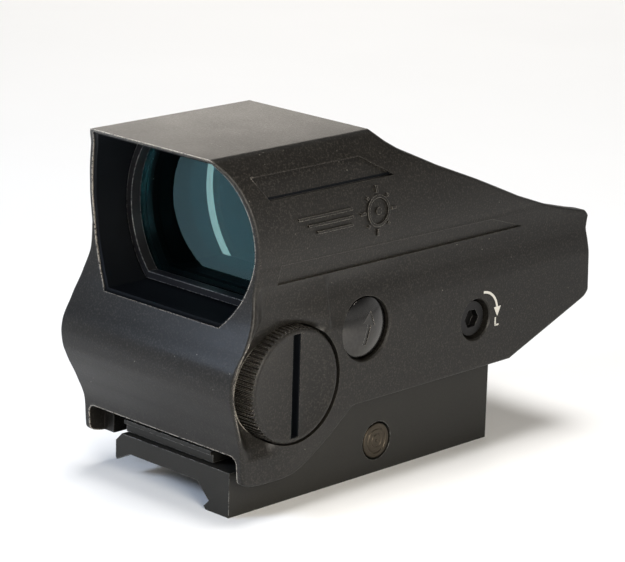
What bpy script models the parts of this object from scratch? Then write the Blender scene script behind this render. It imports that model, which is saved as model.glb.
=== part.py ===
"""Hooded red dot sight with a rail clamp, modelled as an assembly of separate pieces.

Drawing dimensions are in millimetres: x from the centre plane, y backwards from the front of
the rail base, z upwards from the underside of the jaws. SEAT is the middle of the face that
rests on the rail, and becomes the origin of the finished part.
"""
import math

import bmesh
import bpy
from mathutils import Vector

MM = 0.001
SEAT = (0.0, 31.0, 4.48)
GAP = 0.3                      # between pieces that touch on the real object
RUN = 0.1                      # radial clearance of a turning or sliding shaft

# hood and window
HOOD_R, HOOD_Z, TOP_Z = 20.15, 45.5, 59.6
WINDOW_R, WINDOW_H = 18.8, 13.1            # the bore is a circle cut flat at +-WINDOW_H
MIDDLE_R, MIDDLE_H = 17.3, 11.6
CHANNEL_R, CHANNEL_H = 18.2, 12.7          # open channel behind the rear window
SHOULDER_Y, REAR_BORE_Y = 14.6, 26.0
DECK_Z = HOOD_Z - CHANNEL_H

# side panels, battery, buttons, adjusters
PANEL_X = 20.6
CAP_Y, CAP_Z, CAP_R = 9.3, 21.7, 9.71
CAP_BACK, CAP_TEETH = 15.7, 70
BUTTON_Y, BUTTON_Z, BUTTON_R = 25.3, 28.2, 5.18
WINDAGE_Y, WINDAGE_Z = 52.1, 24.6
ELEVATION_Y = 61.5
LED_Z = HOOD_Z - 10.6
COUNTERBORE_R = 3.55

# base
BASE_X, FAR_X, BASE_LENGTH = 15.3, -12.2, 62.0
BASE_TOP, STEP_TOP, FRONT_TOP = 14.5, 10.9, 7.64    # tops of its rear, its step and its front
STEP_Y = 16.9
FOOT_Z, FRONT_FOOT_Z, FLANGE_Z = BASE_TOP + GAP, STEP_TOP + GAP, 15.7
BOLT_Y, BOLT_Z, BOLT_HEAD_R, BOLT_R = 34.13, 5.57, 3.28, 2.45
COVER_X = 10.5
SCREW_SPOTS = [(-4.5, 14.0), (4.5, 14.0), (-4.5, 54.0), (4.5, 54.0)]

# front face, top slope, tail and skirt seen from the side, as (y, z)
FRONT_FACE = [(-4.48, 59.6), (-3.2, 58), (-1.88, 56), (-1.04, 54), (-0.45, 52), (0.4, 48),
              (0.85, 43), (0.37, 38), (-0.6, 34), (-2.5, 30), (-4.73, 26), (-5.08, 24),
              (-4.27, 20), (-2.58, 16), (-1.21, 12), (-0.78, 7.2)]
SKIRT = [(-0.3, 6.6), (1.2, 6.1), (3.0, 5.9), (7.6, 5.9), (9.8, 6.2), (11.8, 7.0), (16.6, 10.3),
         (19.0, 12.3), (21.7, FOOT_Z - 0.4)]
TAIL = [(60.7, FOOT_Z - 0.4), (61.6, FLANGE_Z), (81.2, 23.3), (82.2, 24.4), (81.9, 31.8), (81.6, 35.6),
        (82.3, 38.0), (81.4, 38.9)]
SLOPE = [(78.3, 39.6), (71.1, 41.5), (62.7, 44.5), (52.4, 48.9), (43.1, 52.6), (35.3, 56.2),
         (33.1, 57.6), (30.9, 59.6)]

# half width of the hood's lower part, as (z, x): at the front edge and behind the valley
FRONT_HALF = [(3, 19.4), (12, 19.2), (16, 19.6), (20, 20.3), (26, 20.85), (30, 21.0),
              (34, 20.5), (38.2, 19.64), (42, 19.9)]
REAR_HALF = [(3, 19.3), (8, 19.9), (12, 20.4), (15, PANEL_X), (31, PANEL_X), (33.5, 20.3),
             (36, 19.8), (38.2, 19.64), (42, 19.9)]

# hollow round the battery cap, as (z, depth) and where along y it starts and ends
VALLEY = [(10.5, 0), (12.5, 1.0), (15, 2.5), (18, 3.3), (22, 3.7), (26, 3.5), (31, 2.9), (35, 2.1),
          (38.3, 1.0), (38.95, 0)]
VALLEY_START = [(12, -0.9), (16, -2.2), (20, -3.9), (24, -4.7), (27, -4.0), (31, -1.6), (34, 0.3),
                (38, 0.5)]
VALLEY_END = [(12, 7), (16, 8.5), (20, 10), (26, 13), (29, 15.2), (31, 17.2), (38, 17.2)]


def empty_scene():
    for old in list(bpy.data.objects):
        bpy.data.objects.remove(old, do_unlink=True)


def make_material(name, colour, roughness, metallic, alpha=1.0):
    material = bpy.data.materials.new(name)
    material.use_nodes = True
    shader = material.node_tree.nodes["Principled BSDF"]
    shader.inputs["Base Color"].default_value = (*colour, 1.0)
    shader.inputs["Roughness"].default_value = roughness
    shader.inputs["Metallic"].default_value = metallic
    shader.inputs["Alpha"].default_value = alpha
    return material


def make_object(name, mesh_data, origin=SEAT, material=None):
    """Turns a bmesh drawn in millimetres into an object whose origin is the given point."""
    bmesh.ops.recalc_face_normals(mesh_data, faces=mesh_data.faces)
    for vertex in mesh_data.verts:
        vertex.co = (vertex.co - Vector(origin)) * MM
    mesh = bpy.data.meshes.new(name)
    mesh_data.to_mesh(mesh)
    mesh_data.free()
    item = bpy.data.objects.new(name, mesh)
    item.location = [(o - s) * MM for o, s in zip(origin, SEAT)]
    bpy.context.collection.objects.link(item)
    if material:
        mesh.materials.append(material)
        mesh.shade_smooth()
        mesh.set_sharp_from_angle(angle=math.radians(35))
    return item


def combine(item, operation, tools, solver="EXACT"):
    """Cuts or joins each tool, then leaves the tools as hidden wire guides."""
    for tool in tools:
        step = item.modifiers.new(tool.name, "BOOLEAN")
        step.operation = operation
        step.solver = solver
        step.object = tool
        tool.hide_render = True
        tool.display_type = "WIRE"
    return item


def along(axis, position, a, b):
    """A point at a position along an axis, with a and b on the other two axes in X, Y, Z order."""
    point = [a, b]
    point.insert("XYZ".index(axis), position)
    return point


def prism(name, axis, outline, low, high, origin=SEAT, material=None):
    """An outline extruded along an axis."""
    data = bmesh.new()
    front = [data.verts.new(along(axis, low, a, b)) for a, b in outline]
    back = [data.verts.new(along(axis, high, a, b)) for a, b in outline]
    data.faces.new(front)
    data.faces.new(back)
    for i in range(len(outline)):
        j = (i + 1) % len(outline)
        data.faces.new((front[i], front[j], back[j], back[i]))
    return make_object(name, data, origin, material)


def box(name, x, y, z, origin=SEAT, material=None):
    outline = [(y[0], z[0]), (y[1], z[0]), (y[1], z[1]), (y[0], z[1])]
    return prism(name, "X", outline, x[0], x[1], origin, material)


def turned(name, axis, centre, profile, segments=24, origin=SEAT, material=None):
    """A turned body: profile is a list of (position, radius), closed on itself when hollow."""
    data = bmesh.new()
    rings = []
    for position, radius in profile:
        if radius == 0:
            rings.append([data.verts.new(along(axis, position, *centre))])
            continue
        ring = []
        for i in range(segments):
            angle = 2 * math.pi * i / segments
            a = centre[0] + radius * math.cos(angle)
            b = centre[1] + radius * math.sin(angle)
            ring.append(data.verts.new(along(axis, position, a, b)))
        rings.append(ring)
    hollow = profile[0][1] > 0
    pairs = list(zip(rings, rings[1:]))
    if hollow:
        pairs.append((rings[-1], rings[0]))
    for one, two in pairs:
        for i in range(segments):
            j = (i + 1) % segments
            corners = [one[i % len(one)], one[j % len(one)], two[j % len(two)], two[i % len(two)]]
            data.faces.new(list(dict.fromkeys(corners)))
    return make_object(name, data, origin, material)


def disc(name, axis, centre, radius, low, high, segments=24, origin=SEAT, material=None):
    profile = [(low, 0), (low, radius), (high, radius), (high, 0)]
    return turned(name, axis, centre, profile, segments, origin, material)


def washer(name, axis, centre, inner, outer, low, high, segments=24, origin=SEAT, material=None):
    profile = [(low, inner), (low, outer), (high, outer), (high, inner)]
    return turned(name, axis, centre, profile, segments, origin, material)


def window_outline(radius, half_height, segments=40):
    """A circle about the hood's centre, cut flat above and below."""
    cut = math.asin(half_height / radius)
    points = []
    for side in (0, math.pi):
        for i in range(segments // 2 + 1):
            angle = side - cut + 2 * cut * i / (segments // 2)
            points.append((radius * math.cos(angle), HOOD_Z + radius * math.sin(angle)))
    return points


def window_ring(name, outer, inner, low, high, material):
    """A flat ring in the window's shape; outer and inner are (radius, half height)."""
    data = bmesh.new()
    loops = []
    for position in (low, high):
        for radius, half in (outer, inner):
            points = window_outline(radius, half)
            loops.append([data.verts.new((x, position, z)) for x, z in points])
    for one, two in ((0, 1), (1, 3), (3, 2), (2, 0)):
        count = len(loops[0])
        for i in range(count):
            j = (i + 1) % count
            data.faces.new((loops[one][i], loops[one][j], loops[two][j], loops[two][i]))
    return make_object(name, data, SEAT, material)


def blend(low, high, value):
    """Goes smoothly from 0 at low to 1 at high, which may lie either side."""
    t = min(1.0, max(0.0, (value - low) / (high - low)))
    return t * t * (3 - 2 * t)


def through(points, value):
    """A smooth curve through (position, value) pairs, without overshoot."""
    if value <= points[0][0]:
        return points[0][1]
    if value >= points[-1][0]:
        return points[-1][1]
    slopes = [(b[1] - a[1]) / (b[0] - a[0]) for a, b in zip(points, points[1:])]
    tangents = [slopes[0]]
    for before, after in zip(slopes, slopes[1:]):
        tangents.append(0 if before * after <= 0 else 2 * before * after / (before + after))
    tangents.append(slopes[-1])
    for i, (a, b) in enumerate(zip(points, points[1:])):
        if value <= b[0]:
            span = b[0] - a[0]
            t = (value - a[0]) / span
            return ((2 * t ** 3 - 3 * t ** 2 + 1) * a[1] + (t ** 3 - 2 * t ** 2 + t) * span * tangents[i]
                    + (3 * t ** 2 - 2 * t ** 3) * b[1] + (t ** 3 - t ** 2) * span * tangents[i + 1])
    return points[-1][1]


def half_width(y, z, battery_side):
    """How far the housing's side stands from the centre plane at one point of its length."""
    if z >= 42:
        return math.sqrt(max(HOOD_R ** 2 - (z - HOOD_Z) ** 2, 13.0 ** 2))
    front, rear = through(FRONT_HALF, z), through(REAR_HALF, z)
    width = front + (rear - front) * blend(0, 12, y)
    if battery_side:
        start, end = through(VALLEY_START, z), through(VALLEY_END, z)
        width -= through(VALLEY, z) * blend(start, start + 2.7, y) * blend(end, end - 2.8, y)
    return width


def housing_loft(name, material):
    """Cross-sections along the housing, joined into one skin and capped."""
    stations = [-6, -4.6, -3.6, -2.6, -1.6, -0.6, 0.5, 1.5, 2.4, 3.4, 6, 9, 12, 14.4, 15.4, 16.3, 17.2, 21,
                26, 55, 84]
    levels = [3, 8, 12, 13.5, 15, 16.5, 18, 20, 22, 24, 26, 28.5, 31, 32.5, 34, 36,
              37.3, 38.3, 38.95, 40, 42, 44, 46.5, 49, 51, 53, 55, 56.7, 58.2, 59.7, 61]
    data = bmesh.new()
    sections = []
    for y in stations:
        right = [data.verts.new((half_width(y, z, True), y, z)) for z in levels]
        left = [data.verts.new((-half_width(y, z, False), y, z)) for z in reversed(levels)]
        sections.append(right + left)
    for one, two in zip(sections, sections[1:]):
        for i in range(len(one)):
            j = (i + 1) % len(one)
            data.faces.new((one[i], one[j], two[j], two[i]))
    data.faces.new(sections[0])
    data.faces.new(sections[-1])
    bmesh.ops.triangulate(data, faces=data.faces)
    return make_object(name, data, SEAT, material)


def side_pocket(name, corners, depth, side):
    """A flat-floored pocket; corners are (y, z) and depth is below the panel at the lower edge."""
    lower = min(z for _, z in corners)
    floor = half_width(30, lower, False) - depth
    low, high = sorted((side * floor, side * 24))
    return prism(name, "X", corners, low, high)


def make_housing(finish):
    housing = housing_loft("housing", finish)
    profile = FRONT_FACE + SKIRT + TAIL + SLOPE
    combine(housing, "INTERSECT", [prism("side_profile", "X", profile, -25, 25)])
    boss_side = [(65, 31), (65, 37.4), (66, 38.4), (74.5, 38.4), (77.5, 33.5), (77.5, 31)]
    boss = prism("emitter_boss", "X", boss_side, -7.2, 7.2)
    cuts = [
        prism("window_bore", "Y", window_outline(WINDOW_R, WINDOW_H), -9, SHOULDER_Y),
        prism("middle_bore", "Y", window_outline(MIDDLE_R, MIDDLE_H), SHOULDER_Y - 1, REAR_BORE_Y + 1),
        prism("rear_channel", "Y", window_outline(CHANNEL_R, CHANNEL_H), REAR_BORE_Y, 90),
    ]
    combine(housing, "DIFFERENCE", cuts)
    combine(housing, "UNION", [boss])
    arch = [(-17.9, 4), (17.9, 4), (17.9, 10.2), (16.9, 11.2), (-16.9, 11.2), (-17.9, 10.2)]
    pocket_a = [(1.7, 56.3), (26, 56.3), (32.4, 52.6), (4.2, 52.6)]
    pocket_b = [(6.1, 42.0), (56.2, 41.4), (64.2, 38.9), (5.5, 38.9)]
    foot = [(1.6, 2), (90, 2), (90, FOOT_Z), (STEP_Y - GAP, FOOT_Z), (STEP_Y - GAP, FRONT_FOOT_Z + 0.02),
            (1.6, FRONT_FOOT_Z + 0.02)]
    flange = [(22.1, 13), (64, 13), (64, FLANGE_Z), (25.5, FLANGE_Z), (23.4, 15.45), (22.1, 14.9)]
    bay = [(22, 17), (60, 17), (60, 19.4), (65.6, 19.4), (70.5, 23.0), (76.5, 23.0), (76.5, 29.5),
           (46, 29.5), (46, 31.3), (22, 31.3)]
    cuts = [
        prism("front_arch", "Y", arch, -9, 2.5),
        prism("base_recess", "X", foot, -15.6, 15.6),
        prism("near_flange_relief", "X", flange, 15.3, 25),
        prism("far_flange_relief", "X", flange, -25, -15.3),
        prism("electronics_bay", "X", bay, -15.8, 15.8),
        box("bay_mouth", (-9, 9), (22, 48), (12, 18)),
        box("boss_cavity", (-4.8, 4.8), (66.7, 75.2), (28, 36.9)),
        box("emitter_port", (-3.2, 3.2), (64, 67), (33.4, 36.4)),
        box("elevation_port", (-3.8, 3.8), (ELEVATION_Y - 2.9, ELEVATION_Y + 2.9), (29, 34)),
        disc("cap_bore", "X", (CAP_Y, CAP_Z), CAP_R + 0.34, CAP_BACK - GAP, 26, 48),
        disc("cell_well", "X", (CAP_Y, CAP_Z), 8.5, 6.5, 16, 40),
        box("lead_channel", (7, 9), (16, 23), (19.5, 23.5)),
        disc("windage_counterbore", "X", (WINDAGE_Y, WINDAGE_Z), COUNTERBORE_R, 17.0, 26),
        disc("windage_hole", "X", (WINDAGE_Y, WINDAGE_Z), 1.7, 15, 18),
    ]
    for side, word in ((1, "near"), (-1, "far")):
        cuts.append(side_pocket("upper_pocket_" + word, pocket_a, 0.95, side))
        cuts.append(side_pocket("lower_pocket_" + word, pocket_b, 0.4, side))
        low, high = sorted((side * 17.0, side * 26))
        cuts.append(disc("button_bore_" + word, "X", (BUTTON_Y, BUTTON_Z), BUTTON_R + 0.22, low, high, 32))
        low, high = sorted((side * 15, side * 18))
        cuts.append(disc("stem_hole_" + word, "X", (BUTTON_Y, BUTTON_Z), 2.1, low, high))
        cuts.append(disc("board_hole_" + word, "Z", (side * 12.4, 34.5), 1.0, 14.4, 18, 12))
    for i, spot in enumerate(SCREW_SPOTS):
        cuts.append(disc("foot_hole_%d" % i, "Z", spot, 1.7, 9, 16.4, 16))
    return combine(housing, "DIFFERENCE", cuts, "MANIFOLD")


def make_optics(glass, ring_finish, rubber):
    """Front lens, its ring and gasket, and the rear window with its frame."""
    outer = (WINDOW_R - GAP, WINDOW_H - GAP)
    window_ring("lens_retaining_ring", outer, (WINDOW_R - 1.5, WINDOW_H - 1.5), 7.4, 9.4, ring_finish)
    window_ring("lens_gasket", outer, (WINDOW_R - 2, WINDOW_H - 2), 13.5, 14.3, rubber)
    prism("front_lens", "Y", window_outline(*outer), 9.7, 13.2, material=glass)
    outer = (CHANNEL_R - GAP, CHANNEL_H - GAP)
    window_ring("rear_window_frame", outer, (CHANNEL_R - 1.7, CHANNEL_H - 1.7), 28.6, 30.4, ring_finish)
    prism("rear_window", "Y", window_outline(*outer), 26.3, 28.3, material=glass)


def make_base(finish):
    """The fixed half of the rail clamp, with its groove and a channel for the bottom cover."""
    section = [
        (BASE_X, 0), (BASE_X, BASE_TOP), (FAR_X, BASE_TOP), (FAR_X, 3.2),
        (-11.96, 2.8), (-10.85, 3.5), (-8.6, SEAT[2]), (7.85, SEAT[2]), (10.6, 1.73), (9.4, 0.55),
        (9.9, 0),
    ]
    base = prism("rail_base", "Y", section, 0, BASE_LENGTH, material=finish)
    channel = [(3, FRONT_TOP), (20.3, FRONT_TOP), (20.3, 9.4), (58.4, 9.4), (58.4, 20), (3, 20)]
    steps = [(-1, FRONT_TOP), (5, FRONT_TOP), (5, STEP_TOP), (STEP_Y, STEP_TOP), (STEP_Y, 20), (-1, 20)]
    cuts = [
        prism("cover_channel", "X", channel, -10.8, 10.8),
        prism("base_steps", "X", steps, -20, 20),
        prism("far_chamfer", "Y", [(-13.7, 4.66), (-9.7, 8.66), (-13.7, 8.66)], -1, 5),
        disc("bolt_head_bore", "X", (BOLT_Y, BOLT_Z), BOLT_HEAD_R + 0.12, 12.2, 17),
        disc("bolt_bore", "X", (BOLT_Y, BOLT_Z), BOLT_R + RUN, -14, 14),
    ]
    for i, spot in enumerate(SCREW_SPOTS):
        cuts.append(disc("head_seat_%d" % i, "Z", spot, 2.9, 3, 6.4, 16))
        cuts.append(disc("screw_hole_%d" % i, "Z", spot, 1.7, 5, 12, 16))
    return combine(base, "DIFFERENCE", cuts, "MANIFOLD")


def make_cover(finish):
    """Bottom cover: its front edge shows as a tongue between the base and the housing."""
    profile = [(0.9, 7.94), (20, 7.94), (20, 9.7), (58, 9.7), (58, BASE_TOP), (STEP_Y + GAP, BASE_TOP),
               (STEP_Y + GAP, STEP_TOP), (6, STEP_TOP), (6, 10.1), (0.3, 10.1), (0.3, 9.4), (0.9, 9.3)]
    cover = prism("bottom_cover", "X", profile, -COVER_X, COVER_X, material=finish)
    cuts = [disc("cover_hole_%d" % i, "Z", s, 1.7, 6, 15, 16) for i, s in enumerate(SCREW_SPOTS)]
    return combine(cover, "DIFFERENCE", cuts)


def hex_socket(name, axis, centre, across_flats, low, high):
    """A six-sided key socket."""
    radius = across_flats / math.sqrt(3)
    outline = []
    for i in range(6):
        angle = math.pi * i / 3
        outline.append((centre[0] + radius * math.cos(angle), centre[1] + radius * math.sin(angle)))
    return prism(name, axis, outline, low, high)


def socket_screw(name, axis, centre, head, shank, key, segments, origin, material):
    """Cap screw; head and shank are (radius, from, to) along the axis, key is the socket size."""
    profile = [(shank[1], 0), (shank[1], shank[0]), (shank[2], shank[0]), (head[1], head[0]),
               (head[2], head[0]), (head[2], 0)]
    screw = turned(name, axis, centre, profile, segments, origin, material)
    reach = 0.55 * (head[2] - head[1])
    low, high = sorted((head[2] - reach, head[2] + math.copysign(1, reach)))
    return combine(screw, "DIFFERENCE", [hex_socket(name + "_socket", axis, centre, key, low, high)])


def make_clamp(finish, steel):
    """Sliding jaw, cross bolt and nut on the far side."""
    bolt_centre = (BOLT_Y, BOLT_Z)
    on_bolt = (0, BOLT_Y, BOLT_Z)
    head = [(-22.2, 0), (-22.2, 2.0), (-21.7, BOLT_R), (12.5, BOLT_R), (12.5, BOLT_HEAD_R),
            (15.1, BOLT_HEAD_R), (15.3, BOLT_HEAD_R - 0.2), (15.3, 0)]
    turned("cross_bolt", "X", bolt_centre, head, 32, on_bolt, steel)
    section = [(-15.6, 0.4), (-15.2, 0), (-9.9, 0), (-9.4, 0.55), (-10.6, 1.73), (-11.3, 2.4),
               (-12.5, 2.4), (-12.5, 11.0), (-14.8, 11.0), (-15.6, 10.2)]
    bar = prism("clamp_bar", "Y", section, 16, 57, on_bolt, finish)
    combine(bar, "DIFFERENCE", [
        box("bar_front_step", (-18, -8), (15, 21.5), (5.0, 14)),
        disc("bar_bore", "X", bolt_centre, BOLT_R + RUN, -18, -10),
    ])
    knurl = []
    for i in range(48):
        radius = 5.1 if i % 2 else 4.8
        angle = 2 * math.pi * i / 48
        knurl.append((BOLT_Y + radius * math.cos(angle), BOLT_Z + radius * math.sin(angle)))
    nut = prism("clamp_nut", "X", knurl, -20.6, -15.9, on_bolt, steel)
    combine(nut, "DIFFERENCE", [
        disc("nut_bore", "X", bolt_centre, BOLT_R + RUN, -24, -12),
        box("nut_coin_slot", (-21.5, -19.5), (BOLT_Y - 7, BOLT_Y + 7), (BOLT_Z - 0.7, BOLT_Z + 0.7)),
    ])


def make_battery(cap_finish, rubber, plastic, steel, brass):
    """Coin-slotted cap with its seal, the cell and its contacts."""
    centre = (CAP_Y, CAP_Z)
    on_cap = (0, CAP_Y, CAP_Z)
    outline = []
    for i in range(2 * CAP_TEETH):
        radius = CAP_R if i % 2 else CAP_R - 0.4
        angle = math.pi * i / CAP_TEETH
        outline.append((CAP_Y + radius * math.cos(angle), CAP_Z + radius * math.sin(angle)))
    cap = prism("battery_cap", "X", outline, CAP_BACK, PANEL_X, on_cap, cap_finish)
    neck = [(11.9, 0), (11.9, 7.9), (13.2, 7.9), (13.2, 7.1), (14.4, 7.1), (14.4, 7.9), (16.2, 7.9),
            (16.2, 0)]
    combine(cap, "UNION", [turned("cap_neck", "X", centre, neck, 32)])
    combine(cap, "DIFFERENCE", [
        box("coin_slot", (PANEL_X - 1.4, 24), (CAP_Y - 0.75, CAP_Y + 0.75), (CAP_Z - 8.7, CAP_Z + 8.7)),
    ])
    seal = []
    for i in range(8):
        angle = math.pi * (2 * i + 1) / 8
        seal.append((13.8 + 0.45 * math.cos(angle), 7.8 + 0.45 * math.sin(angle)))
    turned("battery_seal", "X", centre, seal, 32, on_cap, rubber)
    cell = [(9.4, 0), (9.4, 6.6), (9.7, 6.8), (9.7, 7.8), (9.9, 8.0), (11.5, 8.0), (11.6, 7.8), (11.6, 0)]
    turned("coin_cell", "X", centre, cell, 40, SEAT, steel)
    washer("battery_insulator", "X", centre, 2.0, 8.2, 6.8, 7.6, 24, SEAT, plastic)
    contact = [(7.9, 2.2), (7.9, 5.0), (8.6, 5.0), (9.1, 3.2), (9.1, 2.2)]
    turned("battery_contact", "X", centre, contact, 20, SEAT, brass)


def make_button(word, side, metal, rubber, plastic, board):
    """One domed push button with its seal, switch and switch board; side is +1 or -1."""
    centre = (BUTTON_Y, BUTTON_Z)
    on_axis = (0, BUTTON_Y, BUTTON_Z)
    radius = BUTTON_R
    dome = [(14.6, 0), (14.6, 1.9), (18.6, 1.9), (18.6, radius), (19.6, radius), (20.1, radius - 0.35),
            (20.5, radius - 1.5), (20.85, radius - 3.0), (21.0, 1.2), (21.0, 0)]
    turned(word + "_button", "X", centre, [(side * p, r) for p, r in dome], 32, on_axis, metal)
    low, high = sorted((side * 17.3, side * 17.8))
    washer(word + "_button_seal", "X", centre, 2.2, 5.0, low, high, 24, SEAT, rubber)
    low, high = sorted((side * 10.4, side * 13.0))
    switch = box(word + "_switch", (low, high), (BUTTON_Y - 3, BUTTON_Y + 3), (24.6, 30.9), SEAT, plastic)
    low, high = sorted((side * 12, side * 13.7))
    combine(switch, "UNION", [disc(word + "_plunger", "X", (BUTTON_Y, BUTTON_Z), 1.5, low, high, 16)])
    low, high = sorted((side * 9.0, side * 10.1))
    box(word + "_switch_board", (low, high), (22.4, 30), (20, 31), SEAT, board)


def make_electronics(board, plastic, steel):
    """Main board on the housing's ledges, its screws and its driver chip."""
    plate = box("main_circuit_board", (-14.6, 14.6), (23, 45), (17.3, 18.5), SEAT, board)
    holes = []
    for side, word in ((1, "near"), (-1, "far")):
        spot = (side * 12.4, 34.5)
        holes.append(disc("plate_hole_" + word, "Z", spot, 1.1, 16, 20, 12))
        profile = [(15.2, 0), (15.2, 0.75), (18.8, 0.75), (18.8, 1.6), (19.9, 1.6), (19.9, 0)]
        turned("board_screw_" + word, "Z", spot, profile, 12, SEAT, steel)
    combine(plate, "DIFFERENCE", holes)
    box("driver_chip", (-2.5, 2.5), (33, 38), (18.8, 20), SEAT, plastic)


def make_adjusters(finish, steel, plastic, board, led, glass):
    """Windage and elevation slides that aim the light source, and the screws that move them."""
    windage = (WINDAGE_Y, WINDAGE_Z)
    on_windage = (0, WINDAGE_Y, WINDAGE_Z)
    socket_screw("windage_screw", "X", windage, (3.0, 17.3, 19.6), (1.4, -9.5, 17.3), 3.0, 24,
                 on_windage, steel)
    washer("windage_retainer", "X", windage, 1.5, 3.0, 14.9, 15.5, 20, on_windage, steel)
    carriage = box("windage_carriage", (-6, 6), (47.5, 57), (18.2, 27), on_windage, finish)
    flange = box("carriage_flange", (-5, 5), (50, 65.4), (26.5, 29))
    combine(carriage, "UNION", [flange])
    elevation = (0, ELEVATION_Y)
    on_elevation = (0, ELEVATION_Y, 28)
    combine(carriage, "DIFFERENCE", [
        disc("carriage_bore", "X", windage, 1.4 + RUN, -8, 8),
        disc("flange_bore", "Z", elevation, 1.25 + RUN, 25, 30),
    ])
    socket_screw("elevation_screw", "Z", elevation, (2.4, 29.3, 31.8), (1.25, 19.8, 29.3), 2.0, 24,
                 on_elevation, steel)
    washer("elevation_retainer", "Z", elevation, 1.35, 2.6, 25.9, 26.2, 20, on_elevation, steel)
    block = box("emitter_slide", (-4.4, 4.4), (57.9, 65.2), (20.6, 24.8), on_elevation, plastic)
    arm = [(64, 22.6), (68.5, 24.3), (73.6, 24.3), (73.6, 34.9), (71.3, 34.9), (71.3, 26.6),
           (66.6, 26.6), (65, 24.8)]
    combine(block, "UNION", [prism("slide_arm", "X", arm, -3.2, 3.2)])
    combine(block, "DIFFERENCE", [disc("slide_bore", "Z", elevation, 1.25 + RUN, 18, 27)])
    box("led_board", (-3, 3), (70.2, 71.0), (31.2, 35.2), on_elevation, board)
    disc("emitter_led", "Y", (0, LED_Z), 1.0, 68.9, 69.9, 16, on_elevation, led)
    washer("aperture_mask", "Y", (0, LED_Z), 0.25, 1.2, 68.2, 68.6, 16, on_elevation, steel)
    box("emitter_window", (-2.9, 2.9), (65.3, 66.2), (33.7, 36.1), SEAT, glass)


def make_base_screws(steel):
    """The four screws that hold the base and the bottom cover to the housing."""
    for i, spot in enumerate(SCREW_SPOTS):
        socket_screw("base_screw_%d" % (i + 1), "Z", spot, (2.6, 6.1, 4.7), (1.45, 16.1, 6.1), 2.5, 16,
                     (*spot, 4.7), steel)


def main():
    empty_scene()
    paint = make_material("painted_alloy", (0.045, 0.045, 0.043), 0.55, 0.0)
    anodised = make_material("anodised_alloy", (0.06, 0.06, 0.062), 0.45, 0.6)
    black_metal = make_material("turned_black_metal", (0.03, 0.03, 0.035), 0.2, 1.0)
    steel = make_material("steel", (0.32, 0.29, 0.26), 0.35, 1.0)
    black_steel = make_material("black_steel", (0.05, 0.05, 0.05), 0.35, 1.0)
    rubber = make_material("rubber", (0.02, 0.02, 0.02), 0.8, 0.0)
    plastic = make_material("black_plastic", (0.03, 0.03, 0.03), 0.5, 0.0)
    brass = make_material("brass", (0.6, 0.45, 0.2), 0.3, 1.0)
    board = make_material("circuit_board", (0.02, 0.15, 0.06), 0.4, 0.0)
    led = make_material("red_led", (0.6, 0.05, 0.03), 0.2, 0.0)
    glass = make_material("coated_glass", (0.25, 0.5, 0.52), 0.03, 0.0, 0.35)
    make_housing(paint)
    make_optics(glass, black_metal, rubber)
    make_base(anodised)
    make_cover(anodised)
    make_clamp(anodised, steel)
    make_battery(paint, rubber, plastic, steel, brass)
    make_button("up", 1, black_metal, rubber, plastic, board)
    make_button("down", -1, black_metal, rubber, plastic, board)
    make_electronics(board, plastic, black_steel)
    make_adjusters(anodised, black_steel, plastic, board, led, glass)
    make_base_screws(black_steel)


main()
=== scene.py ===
import math

import bmesh
import bpy
import numpy as np
from mathutils import Matrix, Vector


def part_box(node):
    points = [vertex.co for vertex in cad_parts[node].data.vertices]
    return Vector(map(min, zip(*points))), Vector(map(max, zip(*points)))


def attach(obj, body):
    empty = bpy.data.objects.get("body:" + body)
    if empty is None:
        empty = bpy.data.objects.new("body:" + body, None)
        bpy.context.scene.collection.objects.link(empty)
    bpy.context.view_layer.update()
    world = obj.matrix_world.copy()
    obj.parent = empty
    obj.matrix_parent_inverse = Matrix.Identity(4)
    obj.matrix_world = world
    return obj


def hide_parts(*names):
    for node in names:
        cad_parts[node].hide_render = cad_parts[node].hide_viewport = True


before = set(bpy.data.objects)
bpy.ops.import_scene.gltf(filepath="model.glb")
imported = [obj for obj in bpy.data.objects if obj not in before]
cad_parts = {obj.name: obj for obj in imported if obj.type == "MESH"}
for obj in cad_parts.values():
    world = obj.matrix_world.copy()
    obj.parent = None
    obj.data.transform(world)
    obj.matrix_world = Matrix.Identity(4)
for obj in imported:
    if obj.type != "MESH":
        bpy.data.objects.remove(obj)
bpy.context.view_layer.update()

mm = 0.001
seat = Vector((0, 31, 4.48))      # the rail seat, in millimetres from the base's front and underside
materials = {}


def toFrame(x, y, z):
    return Vector((x - seat.x, y - seat.y, z - seat.z)) * mm


def centreOf(node):
    # middle of a CAD node, back in drawing millimetres
    low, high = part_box(node)
    return (low + high) / 2 / mm + seat


class Wire:
    # one output of a node; sums on it add Math nodes
    def __init__(self, nodes, socket):
        self.nodes = nodes
        self.socket = socket

    def calc(self, operation, first, second):
        return self.nodes.add("Math", {"operation": operation}, {0: first, 1: second})

    def __add__(self, other):
        return self.calc("ADD", self, other)

    def __mul__(self, other):
        return self.calc("MULTIPLY", self, other)

    def __sub__(self, other):
        return self.calc("SUBTRACT", self, other)

    def __rsub__(self, other):
        return self.calc("SUBTRACT", other, self)

    __radd__ = __add__
    __rmul__ = __mul__


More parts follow.
